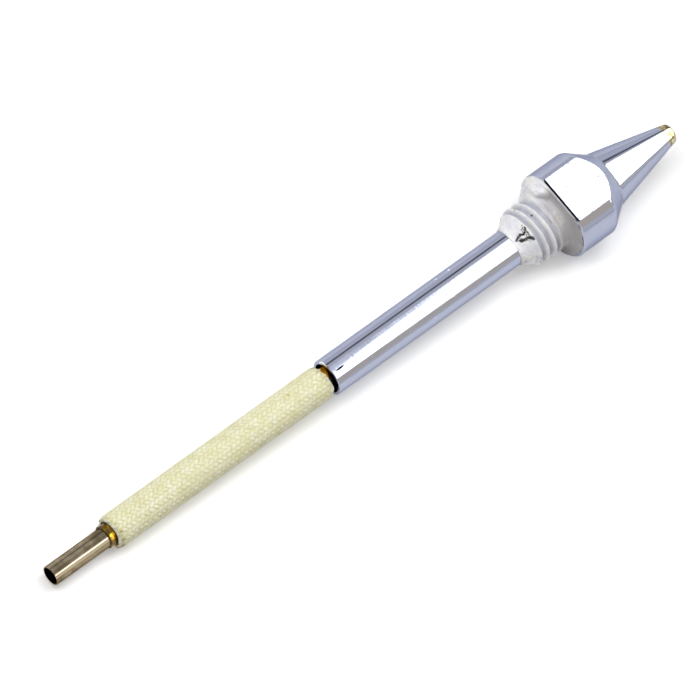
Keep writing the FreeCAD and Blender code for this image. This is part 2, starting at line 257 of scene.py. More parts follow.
@dataclass(frozen=True)
class ChromePlate:
    """Bright chrome plate over turned metal: a hard blue-grey mirror with fine ripples."""

    name: str = "chrome_plate_on_turned_metal"
    colour: str = "#ABB0C3"
    edge_tint: str = "#B4B6C2"
    roughness: float = 0.07
    ripple_along_mm: float = 0.3
    ripple_across_mm: float = 1.3
    ripple_depth_mm: float = 0.0035
    drawn_along_mm: float = 9.0
    drawn_across_mm: float = 0.25
    drawn_share: float = 0.4
    smear_mm: float = 2.5
    dulled: float = 2.2
    speck_mm: float = 0.45

    def make(self) -> tuple[bpy.types.Material, bpy.types.NodeTree, bpy.types.Node, bpy.types.NodeSocket]:
        """Builds the plate.

        Returns:
            The material, its tree, its shader and the object coordinates.
        """
        material, tree, shader = new_material(self.name)
        place = object_place(tree)
        shader.inputs["Metallic"].default_value = 1.0
        shader.inputs["Specular Tint"].default_value = linear(self.edge_tint)
        ripple = add_node(tree, "ShaderNodeTexNoise", {"Scale": 1.0, "Detail": 3.0, "Roughness": 0.6},
                          {"Vector": stretched(tree, place, self.ripple_along_mm, self.ripple_across_mm)})
        drawn = add_node(tree, "ShaderNodeTexNoise", {"Scale": 1.0, "Detail": 2.0},
                         {"Vector": stretched(tree, place, self.drawn_along_mm, self.drawn_across_mm)})
        normal = bumps(tree, [(ripple.outputs["Fac"], self.ripple_depth_mm),
                              (drawn.outputs["Fac"], self.ripple_depth_mm * self.drawn_share)])
        tree.links.new(normal, shader.inputs["Normal"])
        smear = add_node(tree, "ShaderNodeTexNoise", {"Scale": per_mm(self.smear_mm), "Detail": 5.0},
                         {"Vector": place})
        gloss = add_node(tree, "ShaderNodeMapRange",
                         {"From Min": 0.35, "From Max": 0.7, "To Min": self.roughness,
                          "To Max": self.roughness * self.dulled}, {"Value": smear.outputs["Fac"]})
        tree.links.new(gloss.outputs["Result"], shader.inputs["Roughness"])
        return material, tree, shader, place

    def specks(self, tree: bpy.types.NodeTree, place: bpy.types.NodeSocket) -> bpy.types.NodeSocket:
        """Scatters pinhead specks.

        Args:
            tree: the node tree.
            place: the coordinates in metres.

        Returns:
            A mask that is 1 on a speck.
        """
        grit = add_node(tree, "ShaderNodeTexNoise", {"Scale": per_mm(self.speck_mm), "Detail": 2.0},
                        {"Vector": place})
        return add_node(tree, "ShaderNodeMapRange", {"From Min": 0.72, "From Max": 0.76},
                        {"Value": grit.outputs["Fac"]}).outputs["Result"]


@dataclass(frozen=True)
class HeadFinish(ChromePlate):
    """Chrome plate of the head, with solder tinning on the nozzle's end and a painted shade line behind the
    flats.
    """

    name: str = "chrome_plate_with_tinned_end"
    roughness: float = 0.055
    ripple_depth_mm: float = 0.0012
    tinned_from_mm: float = 18.4
    tinned_wander_mm: float = 1.4
    tinned_blur_mm: float = 0.15
    solder: tuple[str, str, str] = ("#665C40", "#A89D78", "#DED7B8")
    patch_mm: float = 0.7
    flat_height_mm: float = 4.86
    flat_blur_mm: float = 0.03
    dust_mm: float = 0.35
    dust_colour: str = "#5A5A66"
    # Painted shade: a near-black line in the step at the flats' rear edge.
    step_shade_reach_mm: float = 0.31
    step_shade_wander_mm: float = 0.12
    step_shade_blur_mm: float = 0.06
    step_shade_colour: str = "#0B0A0C"

    def dress(self) -> bpy.types.Material:
        """Dresses the plate with its tinned end, speckled flats and a painted shade line in the step at their
        rear edge.

        Returns:
            The material.
        """
        material, tree, shader, place = self.make()
        axes = add_node(tree, "ShaderNodeSeparateXYZ", links={"Vector": place})
        wander = add_node(tree, "ShaderNodeTexNoise", {"Scale": per_mm(self.patch_mm), "Detail": 4.0},
                          {"Vector": place})
        shifted = add_node(tree, "ShaderNodeMath",
                           {"operation": "MULTIPLY_ADD", 1: self.tinned_wander_mm * MM},
                           {0: wander.outputs["Fac"], 2: axes.outputs["X"]})
        start = (self.tinned_from_mm + self.tinned_wander_mm / 2.0) * MM
        blur = self.tinned_blur_mm * MM
        tinned = add_node(tree, "ShaderNodeMapRange", {"From Min": start - blur, "From Max": start + blur},
                          {"Value": shifted.outputs[0]})
        solder = add_node(tree, "ShaderNodeValToRGB", links={"Fac": wander.outputs["Fac"]})
        set_ramp(solder, list(zip((0.36, 0.5, 0.64), self.solder)))
        on_flat = add_node(tree, "ShaderNodeMath", {"operation": "ABSOLUTE"}, {0: axes.outputs["Z"]})
        flat = add_node(tree, "ShaderNodeMapRange",
                        {"From Min": self.flat_height_mm * MM,
                         "From Max": (self.flat_height_mm + self.flat_blur_mm) * MM},
                        {"Value": on_flat.outputs[0]})
        dust = add_node(tree, "ShaderNodeTexNoise",
                        {"Scale": per_mm(self.dust_mm), "Detail": 3.0, "Roughness": 0.7}, {"Vector": place})
        dusty = add_node(tree, "ShaderNodeMapRange", {"From Min": 0.5, "From Max": 0.7, "To Max": 0.95},
                         {"Value": dust.outputs["Fac"]})
        dust_on_flat = add_node(tree, "ShaderNodeMath", {"operation": "MULTIPLY"},
                                {0: dusty.outputs["Result"], 1: flat.outputs["Result"]})
        # Painted shade: the flats turn near black in a wavy line at their rear edge.
        wavy = add_node(tree, "ShaderNodeMath", {"operation": "MULTIPLY_ADD", 1: self.step_shade_wander_mm * MM},
                        {0: wander.outputs["Fac"], 2: axes.outputs["X"]})
        edge = add_node(tree, "ShaderNodeMapRange",
                        {"From Min": (self.step_shade_reach_mm + self.step_shade_blur_mm) * MM,
                         "From Max": self.step_shade_reach_mm * MM}, {"Value": wavy.outputs[0]})
        step_shade_mask = add_node(tree, "ShaderNodeMath", {"operation": "MULTIPLY"},
                         {0: edge.outputs["Result"], 1: flat.outputs["Result"]})
        plate = mix_colour(tree, dust_on_flat.outputs[0], self.colour, self.dust_colour)
        plate = mix_colour(tree, tinned.outputs["Result"], plate, solder.outputs["Color"])
        plate = mix_colour(tree, step_shade_mask.outputs[0], plate, self.step_shade_colour)
        tree.links.new(plate, shader.inputs["Base Color"])
        return material


@dataclass(frozen=True)
class Stain:
    """A ragged spot on a surface; raggedness is the share of the radius by which its edge wanders."""

    centre_mm: tuple[float, float, float]
    radius_mm: float
    colour: str
    times_longer: float = 1.0
    raggedness: float = 0.25


@dataclass(frozen=True)
class BarrelFinish(ChromePlate):
    """Chrome plate of the barrel, rippled and drawn, with a burnt fleck, a dark nick, white specks and a
    painted highlight on the mouth's rim.
    """

    name: str = "chrome_plate_on_drawn_tube"
    ripple_depth_mm: float = 0.004
    speck_colour: str = "#DDE0EA"
    burnt_fleck: Stain = Stain((-11.4, -2.35, -0.75), 0.5, "#5B5648", 1.2)
    dark_nick: Stain = Stain((-36.6, -0.42, 2.46), 0.14, "#101114", 5.0)
    # Painted highlight: a near-white patch on the rim at the barrel's mouth.
    painted_rim_highlight: Stain = Stain((-37.85, 1.3, 1.75), 0.8, "#F4F4F8", 0.3)
    paste_specks: tuple[Stain, ...] = (
        Stain((-28.4, 2.19, 1.21), 0.16, "#F6F6F6"),
        Stain((-18.5, 1.84, 1.7), 0.14, "#F6F6F6"),
        Stain((-16.35, 1.84, 1.7), 0.16, "#F6F6F6", 1.3),
    )

    def dress(self) -> bpy.types.Material:
        """Dresses the plate with its specks and stains, and the painted highlight on the rim.

        Returns:
            The material.
        """
        material, tree, shader, place = self.make()
        plate = mix_colour(tree, self.specks(tree, place), self.colour, self.speck_colour)
        for stain in (self.burnt_fleck, self.dark_nick, self.painted_rim_highlight, *self.paste_specks):
            mask = spot(tree, place, stain.centre_mm, stain.radius_mm, stain.radius_mm * stain.raggedness,
                        stain.times_longer)
            plate = mix_colour(tree, mask, plate, stain.colour)
        tree.links.new(plate, shader.inputs["Base Color"])
        return material


@dataclass(frozen=True)
class DrawnStainless:
    """Drawn stainless steel, heat-browned: a satin grey with lines along the tube.

    The real lines are a few hundredths of a millimetre apart, so they are drawn coarser to show.
    """

    name: str = "drawn_stainless_steel"
    colours: tuple[str, str, str] = ("#6E6350", "#8A7D66", "#A59A84")
    # Painted highlight: a pale line along the pipe's top.
    painted_highlight_colour: str = "#D9D0B8"
    bore_colour: str = "#15120F"
    edge_tint: str = "#857C6A"
    roughness: float = 0.11
    line_mm: float = 0.12
    line_length_mm: float = 2.2
    line_depth_mm: float = 0.0012
    patch_mm: float = 1.6
    bore_mm: tuple[float, float] = (1.19, 1.16)
    painted_highlight_angle_deg: float = -35.0
    painted_highlight_reach_rad: tuple[float, float] = (0.27, 0.12)
    painted_highlight_strength: float = 0.85

    def dress(self) -> bpy.types.Material:
        """Dresses the steel, dark inside the bore and with a painted highlight in a line along its top.

        Returns:
            The material.
        """
        material, tree, shader = new_material(self.name)
        place = object_place(tree)
        shader.inputs["Metallic"].default_value = 1.0
        shader.inputs["Specular Tint"].default_value = linear(self.edge_tint)
        lines = add_node(tree, "ShaderNodeTexNoise", {"Scale": 1.0, "Detail": 4.0},
                         {"Vector": stretched(tree, place, self.line_length_mm, self.line_mm)})
        patches = add_node(tree, "ShaderNodeTexNoise", {"Scale": per_mm(self.patch_mm), "Detail": 4.0},
                           {"Vector": place})
        tone = add_node(tree, "ShaderNodeValToRGB", links={"Fac": patches.outputs["Fac"]})
        set_ramp(tone, list(zip((0.32, 0.5, 0.68), self.colours)))
        axes = add_node(tree, "ShaderNodeSeparateXYZ", links={"Vector": place})
        bore = add_node(tree, "ShaderNodeMapRange",
                        {"From Min": self.bore_mm[0] * MM, "From Max": self.bore_mm[1] * MM},
                        {"Value": from_axis(tree, axes)})
        # Painted highlight: the steel turns lighter in a band round the given angle.
        angle = add_node(tree, "ShaderNodeMath", {"operation": "ARCTAN2"},
                         {0: axes.outputs["Y"], 1: axes.outputs["Z"]})
        off = add_node(tree, "ShaderNodeMath",
                       {"operation": "SUBTRACT", 1: math.radians(self.painted_highlight_angle_deg)}, {0: angle.outputs[0]})
        off = add_node(tree, "ShaderNodeMath", {"operation": "ABSOLUTE"}, {0: off.outputs[0]})
        painted_highlight_mask = add_node(tree, "ShaderNodeMapRange",
                        {"From Min": self.painted_highlight_reach_rad[0], "From Max": self.painted_highlight_reach_rad[1],
                         "To Max": self.painted_highlight_strength}, {"Value": off.outputs[0]})
        steel = mix_colour(tree, painted_highlight_mask.outputs["Result"], tone.outputs["Color"], self.painted_highlight_colour)
        steel = mix_colour(tree, bore.outputs["Result"], steel, self.bore_colour)
        tree.links.new(steel, shader.inputs["Base Color"])
        shader.inputs["Roughness"].default_value = self.roughness
        tree.links.new(bumps(tree, [(lines.outputs["Fac"], self.line_depth_mm)]), shader.inputs["Normal"])
        return material


@dataclass(frozen=True)
class AmberFilm:
    """Amber film, wound and creased: glossy dark gold in random patches, with painted shade, near black,
    inside the barrel's mouth and at its cut edge.
    """

    name: str = "amber_polyimide_film"
    colours: tuple[str, str, str, str] = ("#0E0A05", "#5A4510", "#80620F", "#D9A200")
    # Painted light: a brighter amber from under the sleeve's front into the barrel.
    painted_light_colour: str = "#E8A000"
    # Painted shade: near black inside the barrel's mouth and at the cut edge.
    painted_shade_colour: str = "#0B0806"
    roughness: float = 0.14
    lustre: float = 0.5
    patch_mm: float = 0.9
    crease_mm: float = 0.35
    crease_depth_mm: float = 0.015
    glint: Stain = Stain((-74.12, -0.62, 1.48), 0.27, "#F5B400", 1.5, 0.444)
    painted_light_mm: tuple[float, float] = (-60.0, -55.0)
    shaded_mm: tuple[float, float] = (-38.12, -37.95)
    shade_slant: float = -0.45
    # Painted shadow: a dark band at the film's cut edge.
    edge_shadow_mm: tuple[float, float] = (-74.58, -74.64)
    strength: float = 0.6

    def dress(self) -> bpy.types.Material:
        """Dresses the film: a painted shadow at its cut edge, painted light as a brighter amber from under
        the sleeve's front into the barrel, painted shade inside the barrel and a painted glint.

        Returns:
            The material.
        """
        material, tree, shader = new_material(self.name)
        place = object_place(tree)
        patches = add_node(tree, "ShaderNodeTexNoise", {"Scale": per_mm(self.patch_mm), "Detail": 3.0},
                           {"Vector": place})
        tone = add_node(tree, "ShaderNodeValToRGB", links={"Fac": patches.outputs["Fac"]})
        set_ramp(tone, list(zip((0.36, 0.42, 0.55, 0.68), self.colours)))
        ragged = self.glint.radius_mm * self.glint.raggedness
        bright = spot(tree, place, self.glint.centre_mm, self.glint.radius_mm, ragged,
                      self.glint.times_longer)
        gold = mix_colour(tree, bright, tone.outputs["Color"], self.glint.colour)
        axes = add_node(tree, "ShaderNodeSeparateXYZ", links={"Vector": place})
        # Painted light: the film turns brighter amber from here forwards.
        painted_light_mask = add_node(tree, "ShaderNodeMapRange",
                         {"From Min": self.painted_light_mm[0] * MM, "From Max": self.painted_light_mm[1] * MM,
                          "To Max": self.strength}, {"Value": axes.outputs["X"]})
        gold = mix_colour(tree, painted_light_mask.outputs["Result"], gold, self.painted_light_colour)
        # Painted shade: near black inside the barrel's mouth, and a painted shadow at the cut edge.
        slant = add_node(tree, "ShaderNodeMath", {"operation": "MULTIPLY_ADD", 1: self.shade_slant},
                         {0: axes.outputs["Y"], 2: axes.outputs["X"]})
        shaded = add_node(tree, "ShaderNodeMapRange",
                          {"From Min": self.shaded_mm[0] * MM, "From Max": self.shaded_mm[1] * MM},
                          {"Value": slant.outputs[0]})
        edge = add_node(tree, "ShaderNodeMapRange",
                        {"From Min": self.edge_shadow_mm[0] * MM, "From Max": self.edge_shadow_mm[1] * MM,
                         "To Max": self.strength}, {"Value": axes.outputs["X"]})
        dark = add_node(tree, "ShaderNodeMath", {"operation": "MAXIMUM"},
                        {0: shaded.outputs["Result"], 1: edge.outputs["Result"]})
        gold = mix_colour(tree, dark.outputs[0], gold, self.painted_shade_colour)
        tree.links.new(gold, shader.inputs["Base Color"])
        shader.inputs["Roughness"].default_value = self.roughness
        shader.inputs["Metallic"].default_value = self.lustre
        crease = add_node(tree, "ShaderNodeTexNoise", {"Scale": per_mm(self.crease_mm), "Detail": 2.0},
                          {"Vector": place})
        tree.links.new(bumps(tree, [(crease.outputs["Fac"], self.crease_depth_mm)]), shader.inputs["Normal"])
        return material


@dataclass(frozen=True)
class GlassYarn:
    """Varnished glass-fibre yarn: a soft cream thread whose filaments catch a little light.

    A real yarn has hundreds of filaments, far too fine to show, so a few coarse ones are drawn.
    """

    name: str = "varnished_glass_fibre_yarn"
    colours: tuple[str, str, str] = ("#E6E3B6", "#F1EECB", "#FAF9E4")
    # Painted shade: a darker, yellower cream in the gaps between the yarns.
    gap_shade_colour: str = "#D2CE93"
    end_colour: str = "#F6F5E6"
    roughness: float = 0.5
    glass_ior: float = 1.5
    sheen: float = 0.15
    blotch_mm: float = 1.1
    crest_mm: float = 2.33
    gap_mm: float = 2.19
    fleck: Stain = Stain((-44.2, 0.7, 2.2), 0.16, "#B79A4A")
    filaments_per_pitch: float = 3.6
    filament_depth_mm: float = 0.012
    middle_mm: float = -56.13
    half_length_mm: float = 17.7
    frayed_mm: float = 0.6

    def dress(self) -> bpy.types.Material:
        """Dresses the yarn, with painted shade in the gaps between the yarns; its filaments follow its own UV
        map.

        Returns:
            The material.
        """
        material, tree, shader = new_material(self.name)
        place = object_place(tree)
        blotch = add_node(tree, "ShaderNodeTexNoise", {"Scale": per_mm(self.blotch_mm), "Detail": 4.0},
                          {"Vector": place})
        tone = add_node(tree, "ShaderNodeValToRGB", links={"Fac": blotch.outputs["Fac"]})
        set_ramp(tone, list(zip((0.3, 0.5, 0.7), self.colours)))
        ragged = self.fleck.radius_mm * self.fleck.raggedness
        fleck = spot(tree, place, self.fleck.centre_mm, self.fleck.radius_mm, ragged)
        axes = add_node(tree, "ShaderNodeSeparateXYZ", links={"Vector": place})
        # Painted shade: the cream darkens where the surface sinks below the yarn crowns.
        sunk = add_node(tree, "ShaderNodeMapRange",
                        {"From Min": self.crest_mm * MM, "From Max": self.gap_mm * MM},
                        {"Value": from_axis(tree, axes)})
        cream = mix_colour(tree, sunk.outputs["Result"], tone.outputs["Color"], self.gap_shade_colour)
        cream = mix_colour(tree, fleck, cream, self.fleck.colour)
        middle = add_node(tree, "ShaderNodeMath", {"operation": "SUBTRACT", 1: self.middle_mm * MM},
                          {0: axes.outputs["X"]})
        out = add_node(tree, "ShaderNodeMath", {"operation": "ABSOLUTE"}, {0: middle.outputs[0]})
        ends = add_node(tree, "ShaderNodeMapRange",
                        {"From Min": (self.half_length_mm - self.frayed_mm) * MM,
                         "From Max": self.half_length_mm * MM}, {"Value": out.outputs[0]})
        cream = mix_colour(tree, ends.outputs["Result"], cream, self.end_colour)
        tree.links.new(cream, shader.inputs["Base Color"])
        shader.inputs["Roughness"].default_value = self.roughness
        shader.inputs["IOR"].default_value = self.glass_ior
        shader.inputs["Sheen Weight"].default_value = self.sheen
        along = add_node(tree, "ShaderNodeUVMap", {"uv_map": "yarn"})
        waves = add_node(tree, "ShaderNodeTexWave",
                         {"wave_type": "BANDS", "bands_direction": "X",
                          "Scale": self.filaments_per_pitch / WAVE_BANDS_PER_UNIT,
                          "Distortion": 1.5, "Detail": 2.0, "Detail Scale": 1.5},
                         {"Vector": along.outputs["UV"]})
        tree.links.new(bumps(tree, [(waves.outputs["Fac"], self.filament_depth_mm)]),
                       shader.inputs["Normal"])
        return material


@dataclass(frozen=True)
class DriedPaste:
    """Dried white anti-seize paste: matt and chalky, with painted shade, a cool grey, in the hollows, and
    creamy on the lumps.

    Its real grain is about 0.05 mm, too fine to show, so the finest bumps are drawn coarser.
    """

    name: str = "dried_white_paste"
    colours: tuple[str, str, str] = ("#E9EAF1", "#F6F6FA", "#FDFCF8")
    # Painted shade: the cool grey that the paste turns in its hollows.
    hollow_shade_colour: str = "#A2A2B0"
    hollow_shade_strength: float = 0.9
    hollow_mm: float = 0.6
    roughness: float = 0.5
    cloud_mm: float = 1.5
    cloud_depth_mm: float = 0.1
    grain_mm: float = 0.3
    grain_depth_mm: float = 0.045

    def dress(self) -> bpy.types.Material:
        """Dresses the paste with the stains and painted light stored on its mesh, and painted shade in its
        hollows.

        Returns:
            The material.
        """
        material, tree, shader = new_material(self.name)
        place = object_place(tree)
        cloud = add_node(tree, "ShaderNodeTexNoise", {"Scale": per_mm(self.cloud_mm), "Detail": 5.0},
                         {"Vector": place})
        tone = add_node(tree, "ShaderNodeValToRGB", links={"Fac": cloud.outputs["Fac"]})
        set_ramp(tone, list(zip((0.34, 0.5, 0.64), self.colours)))
        # Painted shade: ambient occlusion turns the paste cool grey in its hollows.
        hollow = add_node(tree, "ShaderNodeAmbientOcclusion", {"Distance": self.hollow_mm * MM, "samples": 8})
        hollow_shade_mask = add_node(tree, "ShaderNodeMapRange",
                         {"From Min": 0.97, "From Max": 0.55, "To Max": self.hollow_shade_strength},
                         {"Value": hollow.outputs["AO"]})
        paste = mix_colour(tree, hollow_shade_mask.outputs["Result"], tone.outputs["Color"], self.hollow_shade_colour)
        marks_and_painted_light = add_node(tree, "ShaderNodeAttribute", {"attribute_name": "marks_and_painted_light"})
        paste = mix_colour(tree, marks_and_painted_light.outputs["Alpha"], paste, marks_and_painted_light.outputs["Color"])
        tree.links.new(paste, shader.inputs["Base Color"])
        shader.inputs["Roughness"].default_value = self.roughness
        grain = add_node(tree, "ShaderNodeTexNoise", {"Scale": per_mm(self.grain_mm), "Detail": 4.0},
                         {"Vector": place})
        tree.links.new(bumps(tree, [(cloud.outputs["Fac"], self.cloud_depth_mm),
                                    (grain.outputs["Fac"], self.grain_depth_mm)]), shader.inputs["Normal"])
        return material


def deselect_all() -> None:
    """Leaves edit mode and clears the selection."""
    if bpy.context.object and bpy.context.object.mode != "OBJECT":
        bpy.ops.object.mode_set(mode="OBJECT")
    bpy.ops.object.select_all(action="DESELECT")


def only(piece: bpy.types.Object) -> None:
    """Makes the piece the only selected and the active one."""
    deselect_all()
    piece.select_set(True)
    bpy.context.view_layer.objects.active = piece


def apply_all(piece: bpy.types.Object) -> None:
    """Applies the piece's modifiers, then its place, turn and scale."""
    only(piece)
    for modifier in list(piece.modifiers):
        bpy.ops.object.modifier_apply(modifier=modifier.name)
    bpy.ops.object.transform_apply(location=True, rotation=True, scale=True)


def copy_of(piece: bpy.types.Object, turn: float) -> bpy.types.Object:
    """Copies a piece with its own mesh, turned about the tip's axis.

    Args:
        piece: the piece to copy.
        turn: the angle in radians.

    Returns:
        The copy.
    """
    twin = piece.copy()
    twin.data = piece.data.copy()
    bpy.context.scene.collection.objects.link(twin)
    twin.data.transform(Matrix.Rotation(turn, 4, "X"))
    return twin


def join(pieces: list[bpy.types.Object], name: str) -> bpy.types.Object:
    """Joins pieces into one.

    Args:
        pieces: the pieces.
        name: the joined piece's name.

    Returns:
        The joined piece.
    """
    only(pieces[0])
    for piece in pieces:
        piece.select_set(True)
    bpy.ops.object.join()
    joined = bpy.context.object
    joined.name = name
    joined.data.name = name
    return joined


def walk(outline: list[tuple[float, float]], step: float) -> list[tuple[float, float]]:
    """Spreads points evenly along an outline.

    Args:
        outline: corners as (place along the axis, radius).
        step: the distance between points.

    Returns:
        The points, both ends included.
    """
    points = [outline[0]]
    for (x0, r0), (x1, r1) in zip(outline, outline[1:]):
        count = max(1, round(math.hypot(x1 - x0, r1 - r0) / step))
        points += [(x0 + (x1 - x0) * i / count, r0 + (r1 - r0) * i / count) for i in range(1, count + 1)]
    return points


def turn_ring(name: str, stations: list[tuple[float, float]], around: int) -> bpy.types.Object:
    """Turns a closed ring about the X axis by extruding a circle from station to station.

    Args:
        name: the piece's name.
        stations: (place along the axis, radius) in millimetres; the last station is the first again.
        around: the number of points round the axis.

    Returns:
        The closed ring, with its normals outwards.
    """
    deselect_all()
    x, r = stations[0]
    bpy.ops.mesh.primitive_circle_add(vertices=around, radius=r * MM, location=(x * MM, 0.0, 0.0),
                                      rotation=(0.0, math.pi / 2.0, 0.0))
    piece = bpy.context.object
    piece.name = name
    piece.data.name = name
    bpy.ops.object.transform_apply(location=True, rotation=True, scale=True)
    bpy.ops.object.mode_set(mode="EDIT")
    bpy.ops.mesh.select_all(action="SELECT")
    for (x0, r0), (x1, r1) in zip(stations, stations[1:]):
        bpy.ops.mesh.extrude_edges_move(TRANSFORM_OT_translate={"value": ((x1 - x0) * MM, 0.0, 0.0)})
        bpy.ops.transform.resize(value=(1.0, r1 / r0, r1 / r0), center_override=(x1 * MM, 0.0, 0.0))
    bpy.ops.mesh.select_all(action="SELECT")
    bpy.ops.mesh.remove_doubles(threshold=MERGE)
    bpy.ops.mesh.normals_make_consistent(inside=False)
    bpy.ops.object.mode_set(mode="OBJECT")
    bpy.ops.object.shade_smooth()
    return piece


def reshape(piece: bpy.types.Object, place_at: Callable[[float, float, float], tuple[float, float]]) -> None:
    """Moves each point of a turned piece within its own half plane through the axis.

    Args:
        piece: the turned piece.
        place_at: gives the new place along the axis and the new radius from the old place, the angle from
            +Z towards +Y and the old radius, in millimetres and radians.
    """
    for vertex in piece.data.vertices:
        x, y, z = vertex.co / MM
        angle = math.atan2(y, z)
        along, radius = place_at(x, angle, math.hypot(y, z))
        vertex.co = Vector((along, math.sin(angle) * radius, math.cos(angle) * radius)) * MM
    piece.data.update()


def paint(piece: bpy.types.Object, name: str, colour_at: Callable[[Vector], tuple[float, ...]]) -> None:
    """Stores a colour at each point of a piece.

    Args:
        piece: the piece.
        name: the colour layer's name.
        colour_at: gives red, green, blue and strength from a place in millimetres.
    """
    layer = piece.data.attributes.new(name, "FLOAT_COLOR", "POINT")
    for vertex, painted in zip(piece.data.vertices, layer.data):
        painted.color = colour_at(vertex.co / MM)


def slope(value: float, low: float, high: float) -> float:
    """Rises smoothly from 0 at low to 1 at high, or falls where low lies above high."""
    share = min(max((value - low) / (high - low), 0.0), 1.0)
    return share * share * (3.0 - 2.0 * share)


def bell(value: float, middle: float, width: float) -> float:
    """Gives a smooth bump of height 1 at middle, falling off over width."""
    return math.exp(-((value - middle) / width) ** 2)


@dataclass
class Tip:
    """The rigid metal pieces, which keep their CAD meshes."""

    nodes: dict[str, bpy.types.Object]

    def dress(self) -> None:
        """Gives each metal node its finish."""
        finishes = {
            "nozzle_head": HeadFinish(),
            "barrel_tube": BarrelFinish(),
            "suction_pipe": DrawnStainless(),
        }
        for name, finish in finishes.items():
            for slot in self.nodes[name].material_slots:
                slot.material = finish.dress()
            log.info("%s dressed as %s", name, finish.name)


